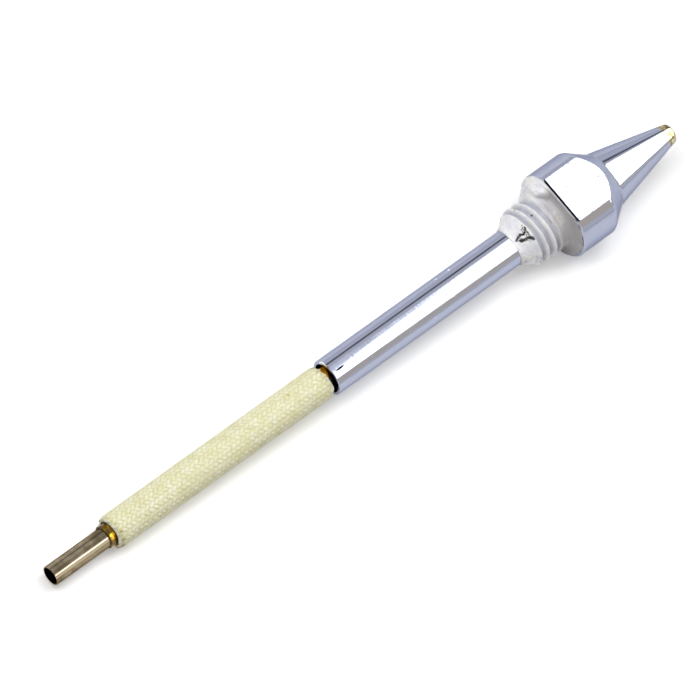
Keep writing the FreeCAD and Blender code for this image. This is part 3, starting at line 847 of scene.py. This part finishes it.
@dataclass
class BraidedSleeve:
    """The woven glass sleeve: two sets of flat yarns that pass over and under each other."""

    node: str = "braided_sleeve"
    yarns_each_way: int = 12
    lead_mm: float = 9.0
    middle_radius_mm: float = 2.18
    weave_mm: float = 0.07
    yarn_half_width_mm: float = 0.41
    yarn_half_thickness_mm: float = 0.09
    section_points: int = 8
    steps_per_crossing: int = 3
    yarn_end_gap_mm: float = 0.02
    pinch_mm: float = 0.12
    pinched_mm: tuple[float, float] = (1.0, 0.1)
    liner_outer_mm: float = 2.15
    liner_inner_mm: float = 1.72
    liner_inset_mm: float = 0.35
    liner_points: int = 48
    end_depth_mm: float = 1.1
    end_points: int = 96
    front_mm: float = 0.5
    fray_mm: float = 0.12
    frays_across: float = 1.7
    skew_mm: float = 0.12
    skew_aside_mm: float = -0.2

    def strand(self, hand: Hand) -> bpy.types.Object:
        """Models one yarn as an oval drawn along a helix, bent over and under the others.

        Args:
            hand: which way it winds.

        Returns:
            The yarn, with the UV map "yarn": across it, and along it.
        """
        low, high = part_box(self.node)
        inset = (self.yarn_half_width_mm + self.yarn_end_gap_mm) * MM
        length = high.x - low.x - 2.0 * inset
        turn = length / (self.lead_mm * MM) * FULL_TURN * hand.value
        crossings = length / (self.lead_mm * MM) * 2.0 * self.yarns_each_way
        steps = round(crossings * self.steps_per_crossing)
        deselect_all()
        start = (low.x + inset, 0.0, self.middle_radius_mm * MM)
        bpy.ops.mesh.primitive_circle_add(vertices=self.section_points, radius=MM, location=start,
                                          rotation=(math.pi / 2.0, 0.0, 0.0))
        yarn = bpy.context.object
        yarn.scale = (self.yarn_half_width_mm, self.yarn_half_thickness_mm, 1.0)
        bpy.ops.object.transform_apply(location=True, rotation=True, scale=True)
        screw = yarn.modifiers.new("winding", "SCREW")
        screw.axis = "X"
        screw.angle = turn
        screw.screw_offset = length
        screw.steps = steps
        screw.render_steps = steps
        apply_all(yarn)
        self.weave(yarn, hand)
        self.lay_uv(yarn, hand)
        return yarn

    def weave(self, yarn: bpy.types.Object, hand: Hand) -> None:
        """Bends a yarn outwards where it passes over and inwards where it passes under.

        Args:
            yarn: the yarn.
            hand: which way it winds.
        """
        low, high = (corner.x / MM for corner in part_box(self.node))

        def place_at(x: float, angle: float, radius: float) -> tuple[float, float]:
            """Gives a yarn's point its new place, drawn in near the sleeve's ends."""
            drawn_in = self.pinch_mm * slope(min(x - low, high - x), *self.pinched_mm)
            over = hand.value * self.weave_mm * math.cos(self.yarns_each_way * angle)
            return x, radius + over - drawn_in

        reshape(yarn, place_at)

    def lay_uv(self, yarn: bpy.types.Object, hand: Hand) -> None:
        """Gives a yarn its UV map: the count of yarn widths across, and millimetres along.

        Args:
            yarn: the yarn.
            hand: which way it winds.
        """
        layer = yarn.data.uv_layers.new(name="yarn")
        pitch = self.lead_mm / self.yarns_each_way
        for loop in yarn.data.loops:
            x, y, z = yarn.data.vertices[loop.vertex_index].co / MM
            wound = x - hand.value * math.atan2(-y, z) / FULL_TURN * self.lead_mm
            layer.data[loop.index].uv = (wound / pitch, x)

    def cut_end(self, edge: float, inward: float) -> bpy.types.Object:
        """Models the fused edge where the sleeve was cut.

        Args:
            edge: the end's place along the axis, in millimetres.
            inward: 1 or -1, the way into the sleeve.

        Returns:
            A rounded ring with a wavy front, skewed at the sleeve's front end.
        """
        inner, outer = self.liner_inner_mm, self.middle_radius_mm
        back = edge + self.end_depth_mm * inward
        corners = [(back, inner), (edge + 0.12 * inward, inner), (edge, inner + 0.05),
                   (edge + 0.02 * inward, inner + 0.14), (edge + 0.14 * inward, outer - 0.16),
                   (edge + 0.3 * inward, outer - 0.08), (back, outer - 0.04), (back, inner)]
        ring = turn_ring("cut_end", corners, self.end_points)

        def place_at(x: float, angle: float, radius: float) -> tuple[float, float]:
            """Moves a point of the ring's front along the axis."""
            at = Vector((edge, math.sin(angle) * self.frays_across, math.cos(angle) * self.frays_across))
            front = 1.0 - min(abs(x - edge) / self.front_mm, 1.0)
            skew = self.skew_mm + self.skew_aside_mm * math.sin(angle) if inward < 0.0 else 0.0
            return x + front * (skew + inward * self.fray_mm * (1.0 + noise.noise(at))), radius

        reshape(ring, place_at)
        return ring

    def build(self) -> bpy.types.Object:
        """Weaves the sleeve.

        Returns:
            The sleeve, which stands for its CAD node.
        """
        low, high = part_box(self.node)
        parts = []
        for hand in Hand:
            first = self.strand(hand)
            parts.append(first)
            for number in range(1, self.yarns_each_way):
                parts.append(copy_of(first, FULL_TURN * number / self.yarns_each_way))
        ends = (low.x / MM + self.liner_inset_mm, high.x / MM - self.liner_inset_mm)
        corners = [(ends[0], self.liner_outer_mm), (ends[1], self.liner_outer_mm),
                   (ends[1], self.liner_inner_mm), (ends[0], self.liner_inner_mm),
                   (ends[0], self.liner_outer_mm)]
        parts.append(turn_ring("liner", corners, self.liner_points))
        parts += [self.cut_end(low.x / MM, 1.0), self.cut_end(high.x / MM, -1.0)]
        sleeve = join(parts, "woven_sleeve")
        only(sleeve)
        bpy.ops.object.mode_set(mode="EDIT")
        bpy.ops.mesh.select_all(action="SELECT")
        bpy.ops.mesh.normals_make_consistent(inside=False)
        bpy.ops.object.mode_set(mode="OBJECT")
        bpy.ops.object.shade_smooth()
        sleeve.data.materials.clear()
        sleeve.data.materials.append(GlassYarn().dress())
        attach(sleeve, BODY)
        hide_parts(self.node)
        log.info("woven_sleeve: %d faces", len(sleeve.data.polygons))
        return sleeve


@dataclass
class FilmWrap:
    """The amber film wound on the pipe, creased and lapped."""

    node: str = "film_wrap"
    inner_mm: float = 1.356
    outer_mm: float = 1.6
    crease_mm: float = 0.05
    creases_per_mm: float = 1.1
    creases_across: float = 2.2
    lap_mm: float = 0.05
    lap_turns_per_mm: float = 0.02
    lip_mm: float = 0.06
    shown_rear_mm: float = 1.6
    shown_mouth_mm: tuple[float, float] = (-40.0, -35.5)
    fine_step_mm: float = 0.12
    covered_step_mm: float = 4.0
    hidden_step_mm: float = 2.0
    around: int = 96

    def build(self) -> bpy.types.Object:
        """Winds the film.

        Returns:
            The film, which stands for its CAD node.
        """
        low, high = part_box(self.node)
        start, end = low.x / MM, high.x / MM
        mouth, inside = self.shown_mouth_mm
        stops = ((start + self.lip_mm, start + self.shown_rear_mm, self.fine_step_mm),
                 (start + self.shown_rear_mm, mouth, self.covered_step_mm),
                 (mouth, inside, self.fine_step_mm),
                 (inside, end, self.hidden_step_mm))
        outer = walk([(start, self.inner_mm + 0.1), (start + self.lip_mm, self.outer_mm)], 0.05)
        for here, there, step in stops:
            outer += walk([(here, self.outer_mm), (there, self.outer_mm)], step)[1:]
        inner = [(end, self.inner_mm), (start, self.inner_mm), outer[0]]
        film = turn_ring("amber_film", outer + inner, self.around)

        def place_at(x: float, angle: float, radius: float) -> tuple[float, float]:
            """Sinks a point of the outside by the winding's lap and its creases."""
            if radius < self.inner_mm + 0.05:
                return x, radius
            share = (radius - self.inner_mm) / (self.outer_mm - self.inner_mm)
            lap = self.lap_mm * ((angle / FULL_TURN + x * self.lap_turns_per_mm) % 1.0) - self.lap_mm
            at = Vector((x * self.creases_per_mm, math.sin(angle) * self.creases_across,
                         math.cos(angle) * self.creases_across))
            return x, radius + share * (lap + self.crease_mm * noise.noise(at) * 2.0)

        reshape(film, place_at)
        film.data.materials.append(AmberFilm().dress())
        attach(film, BODY)
        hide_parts(self.node)
        log.info("amber_film: %d faces", len(film.data.polygons))
        return film


@dataclass(frozen=True)
class Mark:
    """A stain or a crack on a piece: a chain of places with a half width and a colour."""

    path_mm: tuple[tuple[float, float, float], ...]
    half_width_mm: float
    colour: str
    ragged_mm: float = 0.06
    depth_mm: float = 0.0

    def share(self, place: Vector) -> float:
        """Tells how much of the mark lies on a place.

        Args:
            place: the place in millimetres.

        Returns:
            1 on the mark, 0 off it, and less at its ragged edge.
        """
        points = [Vector(point) for point in self.path_mm]
        reach = self.half_width_mm + self.ragged_mm
        near = (place - points[0]).length
        for start, end in zip(points, points[1:]):
            step = end - start
            along = min(max((place - start).dot(step) / step.length_squared, 0.0), 1.0)
            near = min(near, (place - start - step * along).length)
        if near > reach + self.half_width_mm:
            return 0.0
        wander = noise.fractal(place * 5.0, 1.0, 2.0, 3) * self.ragged_mm
        return slope(near + wander, reach, self.half_width_mm * 0.6)


@dataclass
class PasteCoat:
    """The dried paste in the barrel's neck and the undercut, on the thread and smeared on the shoulder."""

    node: str = "thread_compound"
    around: int = 256
    step_mm: float = 0.06
    pitch_mm: float = 1.25
    groove_mm: float = -3.8
    groove_depth_mm: float = 0.6
    groove_sharpness: float = 0.75
    thread_starts_mm: tuple[float, float] = (-5.6, -5.0)
    thread_ends_mm: tuple[float, float] = (-1.85, -2.25)
    crest_radius_mm: float = 4.09
    # Painted highlight: the thread's crests are painted white over this share of the groove's depth.
    crest_highlight_share: float = 0.12
    last_crest_mm: float = -4.9
    flat_mm: float = 4.86
    rim_mm: float = 5.93
    body_radius_mm: float = 5.99
    smear_foot_mm: float = -2.3
    smear_run_mm: float = 2.12
    smear_rise_mm: float = 1.87
    smear_side_deg: tuple[tuple[float, float], tuple[float, float]] = ((14.0, 36.0), (100.0, 76.0))
    # Painted shade: the thread's grooves are painted grey.
    groove_shade_colour: str = "#ABACB8"
    groove_shade_strength: float = 0.8
    # A thin grey coat on the shoulder's face, partly painted shade, and darker still on its low side as
    # painted shade.
    thin_coat_and_shade_colour: str = "#A9A6A7"
    thin_coat_and_shade_strength: tuple[float, float] = (0.78, 0.16)
    # Painted shade: the cracks are coloured near black and dark grey inside, as well as sunk.
    cracks_with_painted_shade: tuple[Mark, ...] = (
        Mark(((-7.1, -0.32, 2.6), (-6.7, -0.15, 2.8), (-6.35, -0.1, 2.95), (-6.0, -0.38, 3.2),
              (-5.78, -0.12, 3.5), (-5.55, 0.2, 3.7)), 0.15, "#030304", 0.1, 0.1),
        Mark(((-6.75, -0.7, 2.75), (-6.3, -0.95, 3.0), (-5.85, -1.05, 3.35), (-5.5, -1.55, 3.4)),
             0.22, "#030304", 0.12, 0.1),
        Mark(((-5.74, 0.4, 3.5), (-5.62, -0.4, 3.6), (-5.6, -1.5, 3.3)), 0.06, "#16161A", 0.1, 0.06),
        Mark(((-5.95, 0.25, 3.35), (-5.9, -0.5, 3.4), (-5.95, -1.5, 3.05)), 0.05, "#16161A", 0.1, 0.06),
    )
    crumbs: tuple[Mark, ...] = (
        Mark(((-4.64, 2.94, 2.71),), 0.13, "#B98F3C"),
        Mark(((-4.38, 3.05, 2.59),), 0.19, "#4A4526"),
        Mark(((-3.64, 0.97, 3.46),), 0.19, "#4C4F50"),
        Mark(((-5.6, 0.6, 3.55),), 0.11, "#A88A4C"),
        Mark(((-1.03, -1.41, 3.53),), 0.12, "#A98A4A"),
        Mark(((-0.6, 4.25, 3.7), (-0.35, 4.35, 3.65)), 0.16, "#F0DCA8", 0.08),
        Mark(((-2.2, -0.2, 3.75), (-2.25, -1.6, 3.4)), 0.03, "#6E6E74", 0.06),
    )

    def outline(self) -> list[tuple[float, float]]:
        """Draws the coat's outer outline, from the barrel to the shoulder's rim.

        Returns:
            Its points, each a place along the axis and a radius, in millimetres.
        """
        neck = [(-7.66, 2.46), (-7.6, 2.56), (-7.1, 2.64), (-6.6, 2.88), (-6.2, 3.16), (-5.9, 3.42),
                (-5.5, 3.78), (-5.2, 4.0), (-4.95, 4.08)]
        undercut = [(-2.0, self.crest_radius_mm), (-1.75, 4.0), (-1.45, 3.84), (-0.9, 3.78), (-0.5, 3.9)]
        shoulder = [(-0.3, 4.15), (-0.2, 4.55), (-0.16, 5.0), (-0.13, 5.5), (-0.1, 5.74), (-0.04, 5.8),
                    (0.03, 5.86)]
        return neck + undercut + shoulder

    def thread(self, x: float, angle: float) -> float:
        """Gives the depth of the thread's groove in the coat: wide grooves, narrow crests.

        Args:
            x: the place along the axis, in millimetres.
            angle: the angle from +Z towards +Y.

        Returns:
            How far the coat sinks, in millimetres.
        """
        waver = 0.05 * noise.noise(Vector((x, math.sin(angle) * 4.0, math.cos(angle) * 4.0)) * 1.3)
        phase = (x - self.groove_mm) / self.pitch_mm + angle / FULL_TURN + waver
        wave = 0.5 + 0.5 * math.cos(FULL_TURN * phase)
        inside = slope(x, *self.thread_starts_mm) * slope(x, *self.thread_ends_mm)
        return self.groove_depth_mm * inside * wave ** self.groove_sharpness

    def lumps(self, x: float, angle: float) -> float:
        """Gives the coat's unevenness at a place, which hardly sinks below its even height.

        Args:
            x: the place along the axis, in millimetres.
            angle: the angle from +Z towards +Y.

        Returns:
            How far the coat stands up, in millimetres: lumps all over, and wrinkles low on its rear side.
        """
        at = Vector((x, math.sin(angle) * 3.2, math.cos(angle) * 3.2))
        broad = noise.noise(at * 0.9 + Vector((4.0, 1.0, 7.0)))
        small = noise.fractal(at * 2.6, 1.0, 2.0, 3)
        wrinkle = math.sin(at.x * 11.0 + 5.0 * noise.noise(at * 1.4)) * bell(math.degrees(angle), -82.0, 24.0)
        wrinkled = slope(x, -4.6, -5.4) * slope(x, -7.4, -6.9)
        return max(0.07 * broad + 0.06 * small, -0.02) + 0.08 * wrinkle * wrinkled

    def smear_reach(self, angle: float, at: Vector) -> float:
        """Tells whether the thick smear lies at a place, up on the +Y side.

        Args:
            angle: the angle from +Z towards +Y.
            at: the place in millimetres, for the smear's ragged sides.

        Returns:
            1 on the smear, 0 off it.
        """
        turned = math.degrees(angle) + 9.0 * noise.noise(at * 0.8 + Vector((2.0, 9.0, 5.0)))
        upper, lower = self.smear_side_deg
        return slope(turned, *upper) * slope(turned, *lower)

    def smear_place(self, x: float, angle: float, radius: float, reach: float) -> tuple[float, float]:
        """Gives a point's place on the smear, a lumpy slope from the last crest up to the shoulder's rim.

        Args:
            x: the point's place along the axis, in millimetres.
            angle: its angle from +Z towards +Y.
            radius: its radius, in millimetres.
            reach: 1 on the smear, 0 off it.

        Returns:
            The new place along the axis and the new radius.
        """
        along = min(max((x - self.smear_foot_mm) / 2.0, 0.0), 1.0)
        way = 0.45 * along + 0.55 * min(max((radius - 3.9) / 1.9, 0.0), 1.0)
        at = Vector((way * 2.2, math.sin(angle) * 5.0, math.cos(angle) * 5.0))
        folds = noise.fractal(Vector((at.x + at.y * 0.5, at.y * 0.5, at.z * 0.9)) * 1.2, 1.0, 2.0, 3)
        bulge = reach * math.sin(math.pi * min(way, 1.0)) * (0.33 + 0.4 * folds)
        return (self.smear_foot_mm + self.smear_run_mm * way - 0.75 * bulge,
                self.crest_radius_mm + self.smear_rise_mm * way + 0.65 * bulge)

    def place_at(self, x: float, angle: float, radius: float) -> tuple[float, float]:
        """Gives a coat point its place.

        Args:
            x: its place along the even coat, in millimetres.
            angle: its angle from +Z towards +Y.
            radius: its radius on the even coat.

        Returns:
            The new place along the axis and the new radius, never past the flats.
        """
        at = Vector((x, math.sin(angle) * radius, math.cos(angle) * radius))
        reach = self.smear_reach(angle, at)
        flat = self.flat_mm / max(abs(math.cos(angle)), 1e-3)
        if x > 0.0:
            return x, min(radius + 0.12 * reach, flat)
        on_face = slope(radius, 3.85, 4.6) * slope(x, -0.9, -0.3)
        lumps = self.lumps(x, angle)
        back = 0.45 * slope(x, -7.0, -7.6) * (1.0 - max(math.cos(angle + 0.2), 0.0))
        along = x - on_face * 0.6 * abs(lumps) + back
        grown = radius - self.thread(x, angle) + (1.0 - on_face) * lumps
        rough = 0.4 * noise.fractal(Vector((math.cos(angle), math.sin(angle), 0.3)) * 8.0, 1.0, 2.0, 2)
        grown = min(grown, max(self.rim_mm - 0.2 + rough, 5.5))
        place = Vector((x, math.sin(angle) * grown, math.cos(angle) * grown))
        grown -= max(crack.depth_mm * crack.share(place) for crack in self.cracks_with_painted_shade)
        if x > self.smear_foot_mm and reach > 0.0:
            smear_x, smear_radius = self.smear_place(x, angle, radius, reach)
            along += (smear_x - along) * reach
            grown += (min(smear_radius, self.body_radius_mm) - grown) * reach
        return along, min(grown, flat)

    def colour_at(self, place: Vector) -> tuple[float, float, float, float]:
        """Gives the colour at a place: a mark, with painted shade in a crack; the thin coat, with painted
        shade on its low side; the crest's painted highlight; or the groove's painted shade.

        Args:
            place: the place in millimetres.

        Returns:
            Red, green and blue, and how strongly they cover the paste's own colour.
        """
        for mark in self.cracks_with_painted_shade + self.crumbs:
            share = mark.share(place)
            if share > 0.02:
                return (*linear(mark.colour)[:3], share)
        angle = math.atan2(place.y, place.z)
        radius = math.hypot(place.y, place.z)
        if place.x > self.smear_foot_mm:
            foot = slope(place.x, self.smear_foot_mm, self.smear_foot_mm + 0.5)
            thin = foot * (1.0 - 0.85 * self.smear_reach(angle, place))
            # Painted shade: the face is darker on its low side.
            low_side_shade = max(-math.sin(angle + 0.3), 0.0) * slope(radius, 4.0, 4.6)
            even, lower = self.thin_coat_and_shade_strength
            return (*linear(self.thin_coat_and_shade_colour)[:3], thin * (even + lower * low_side_shade))
        # Painted highlight on the crests, painted shade in the grooves.
        sunk = self.thread(place.x, angle) / self.groove_depth_mm
        if sunk < self.crest_highlight_share and place.x > self.last_crest_mm:
            return (1.0, 1.0, 1.0, 1.0 - sunk / self.crest_highlight_share)
        return (*linear(self.groove_shade_colour)[:3], self.groove_shade_strength * sunk)

    def build(self) -> bpy.types.Object:
        """Spreads the paste.

        Returns:
            The coat, which stands for its CAD node.
        """
        outer = walk(self.outline(), self.step_mm)
        inner = [(0.05, 5.5), (0.05, 2.95), (-6.0, 2.95), (-6.05, 2.44), outer[0]]
        coat = turn_ring("paste_coat", outer + inner, self.around)
        inside = {(round(x, 4), round(r, 4)) for x, r in inner}

        def place_at(x: float, angle: float, radius: float) -> tuple[float, float]:
            """Leaves a point of the inside where it is turned, cut off by the flats, and moves the rest."""
            if (round(x, 4), round(radius, 4)) in inside:
                return x, min(radius, self.flat_mm / max(abs(math.cos(angle)), 1e-3))
            return self.place_at(x, angle, radius)

        reshape(coat, place_at)
        paint(coat, "marks_and_painted_light", self.colour_at)
        coat.data.materials.append(DriedPaste().dress())
        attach(coat, BODY)
        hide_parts(self.node)
        log.info("paste_coat: %d faces", len(coat.data.polygons))
        return coat


@dataclass(frozen=True)
class SoftLamp:
    """A rectangular soft lamp: its place and size are shares of its distance from the tip."""

    name: str
    toward: tuple[float, float, float]
    across: tuple[float, float, float]
    shift: tuple[float, float]
    size: tuple[float, float]
    distance_m: float
    radiance: float
    lights: bool = True
    reflects: bool = True

    def hang(self) -> None:
        """Hangs the lamp."""
        toward = Vector(self.toward).normalized()
        side = Vector(self.across)
        across = (side - toward * side.dot(toward)).normalized()
        up = toward.cross(across)
        data = bpy.data.lights.new(self.name, "AREA")
        data.shape = "RECTANGLE"
        data.size = self.size[0] * self.distance_m
        data.size_y = self.size[1] * self.distance_m
        data.energy = self.radiance * math.pi * data.size * data.size_y
        lamp = bpy.data.objects.new(self.name, data)
        bpy.context.scene.collection.objects.link(lamp)
        middle = (toward + across * self.shift[0] + up * self.shift[1]) * self.distance_m
        lamp.matrix_world = Matrix.Translation(middle) @ Matrix((across, up, toward)).transposed().to_4x4()
        lamp.visible_camera = False
        lamp.visible_diffuse = self.lights
        lamp.visible_glossy = self.reflects


@dataclass
class Studio:
    """The pale floor that the tip lies on, the soft lamps and the room that the metal reflects."""

    head_touch_mm: tuple[float, float] = (0.0, -4.925)
    sleeve_touch_mm: tuple[float, float] = (-73.83, -2.33)
    floor_size_m: float = 8.0
    floor_colour: str = "#F2F2F2"
    floor_lift: float = 0.3
    ambient: float = 0.22
    softbox: SoftLamp = SoftLamp("softbox", (0.692, -0.147, 0.707), (0.208, 0.978, 0.0), (-0.07, -0.04),
                                 (1.53, 1.12), 0.3, 3.2, lights=False)
    key: SoftLamp = SoftLamp("key", (0.25, 0.0, 0.97), (0.0, 1.0, 0.0), (0.0, 0.0), (0.6, 0.6), 0.5, 4.5,
                             reflects=False)
    fill: SoftLamp = SoftLamp("fill", (-0.38, 0.26, 0.88), (0.8, 0.6, 0.0), (0.0, 0.0), (0.6, 0.6), 0.4, 4.2,
                              reflects=False)
    room_tones: tuple[tuple[float, str], ...] = (
        (-88.0, "#ECECEC"), (-80.0, "#ECECEC"), (-78.0, "#EDDFC8"), (-60.0, "#EDDFC8"), (-50.0, "#CBCBCB"),
        (10.0, "#CBCBCB"), (15.0, "#F8F8F8"), (20.0, "#F8F8F8"), (50.0, "#E4E4E4"), (53.0, "#626369"),
        (61.0, "#626369"), (64.0, "#EEEEF3"), (92.0, "#EEEEF3"),
    )

    def build(self) -> None:
        """Sets up the floor, the room and the lamps."""
        self.floor()
        self.room()
        for lamp in (self.softbox, self.key, self.fill):
            lamp.hang()

    def floor(self) -> None:
        """Lays the floor under the flat's rear edge and the sleeve's end, which the tip rests on."""
        (x0, z0), (x1, z1) = self.head_touch_mm, self.sleeve_touch_mm
        lean = math.atan((z0 - z1) / (x0 - x1))
        deselect_all()
        bpy.ops.mesh.primitive_plane_add(size=self.floor_size_m, location=(x0 * MM, 0.0, z0 * MM),
                                         rotation=(0.0, -lean, 0.0))
        plane = bpy.context.object
        plane.name = "floor"
        material = bpy.data.materials.new("matt_white_board")
        material.use_nodes = True
        tree = material.node_tree
        tree.nodes.clear()
        board = add_node(tree, "ShaderNodeBsdfDiffuse", {"Color": linear(self.floor_colour)})
        strength = add_node(tree, "ShaderNodeMath", {"operation": "MULTIPLY", 1: self.floor_lift},
                            {0: self.seen(tree)})
        lift = add_node(tree, "ShaderNodeEmission", {"Color": (1.0, 1.0, 1.0, 1.0)},
                        {"Strength": strength.outputs[0]})
        both = add_node(tree, "ShaderNodeAddShader", links={0: board.outputs[0], 1: lift.outputs[0]})
        add_node(tree, "ShaderNodeOutputMaterial", links={"Surface": both.outputs[0]})
        plane.data.materials.append(material)

    def seen(self, tree: bpy.types.NodeTree) -> bpy.types.NodeSocket:
        """Tells the rays that look at something from those that light it.

        Args:
            tree: the node tree.

        Returns:
            A socket that is 1 for a look, straight, in a mirror or through glass, and 0 for light.
        """
        ray = add_node(tree, "ShaderNodeLightPath")
        mirrored = add_node(tree, "ShaderNodeMath", {"operation": "MAXIMUM"},
                            {0: ray.outputs["Is Glossy Ray"], 1: ray.outputs["Is Transmission Ray"]})
        either = add_node(tree, "ShaderNodeMath", {"operation": "MAXIMUM"},
                          {0: ray.outputs["Is Camera Ray"], 1: mirrored.outputs[0]})
        return either.outputs[0]

    def room(self) -> None:
        """Paints the room round the tip: its tone runs with the angle about the tip's axis, from +Z to +Y."""
        world = bpy.data.worlds.new("studio_room")
        bpy.context.scene.world = world
        world.use_nodes = True
        tree = world.node_tree
        tree.nodes.clear()
        way = add_node(tree, "ShaderNodeTexCoord")
        axes = add_node(tree, "ShaderNodeSeparateXYZ", links={"Vector": way.outputs["Generated"]})
        angle = add_node(tree, "ShaderNodeMath", {"operation": "ARCTAN2"},
                         {0: axes.outputs["Y"], 1: axes.outputs["Z"]})
        share = add_node(tree, "ShaderNodeMapRange", {"From Min": -math.pi, "From Max": math.pi},
                         {"Value": angle.outputs[0]})
        tone = add_node(tree, "ShaderNodeValToRGB", links={"Fac": share.outputs["Result"]})
        set_ramp(tone, [((degrees + 180.0) / 360.0, code) for degrees, code in self.room_tones])
        strength = add_node(tree, "ShaderNodeMapRange", {"To Min": self.ambient}, {"Value": self.seen(tree)})
        glow = add_node(tree, "ShaderNodeBackground",
                        links={"Color": tone.outputs["Color"], "Strength": strength.outputs["Result"]})
        add_node(tree, "ShaderNodeOutputWorld", links={"Surface": glow.outputs[0]})


@dataclass
class PhotoCamera:
    """The camera at the photograph's angle: a long lens that looks down on the tip from behind."""

    tilt_to_axis_deg: float = 23.3
    turn_about_axis_deg: float = 11.5
    roll_deg: float = 35.576
    distance_m: float = 2.5
    pixels_per_mm: float = 7.996
    middle_mm: tuple[float, float] = (-25.337, -16.672)

    def build(self) -> bpy.types.Object:
        """Places the camera.

        Returns:
            The camera's object.
        """
        tilt, turn, roll = (math.radians(v) for v in (self.tilt_to_axis_deg, self.turn_about_axis_deg,
                                                      self.roll_deg))
        axis = Vector((1.0, 0.0, 0.0))
        over = Vector((0.0, -math.sin(turn), math.cos(turn)))
        toward = over * math.cos(tilt) - axis * math.sin(tilt)
        level = axis * math.cos(tilt) + over * math.sin(tilt)
        up = toward.cross(level)
        right = level * math.cos(roll) - up * math.sin(roll)
        top = level * math.sin(roll) + up * math.cos(roll)
        data = bpy.data.cameras.new("photo_camera")
        frame_width = PHOTO_SIDE_PX / self.pixels_per_mm * MM
        data.sensor_width = SENSOR_MM
        data.lens = SENSOR_MM * self.distance_m / frame_width
        data.clip_start = 0.05
        data.clip_end = 50.0
        camera = bpy.data.objects.new("photo_camera", data)
        bpy.context.scene.collection.objects.link(camera)
        place = (right * self.middle_mm[0] + top * self.middle_mm[1]) * MM + toward * self.distance_m
        camera.matrix_world = Matrix.Translation(place) @ Matrix((right, top, toward)).transposed().to_4x4()
        bpy.context.scene.camera = camera
        return camera


def main() -> None:
    """Builds and dresses the tip, then sets the studio and the camera."""
    logging.basicConfig(level=logging.INFO, format="%(name)s: %(message)s")
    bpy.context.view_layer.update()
    PhotoCamera().build()
    Tip(frame["nodes"]).dress()
    BraidedSleeve().build()
    FilmWrap().build()
    PasteCoat().build()
    Studio().build()
    bpy.context.scene.view_settings.view_transform = "Standard"


if __name__ == "__main__":
    main()
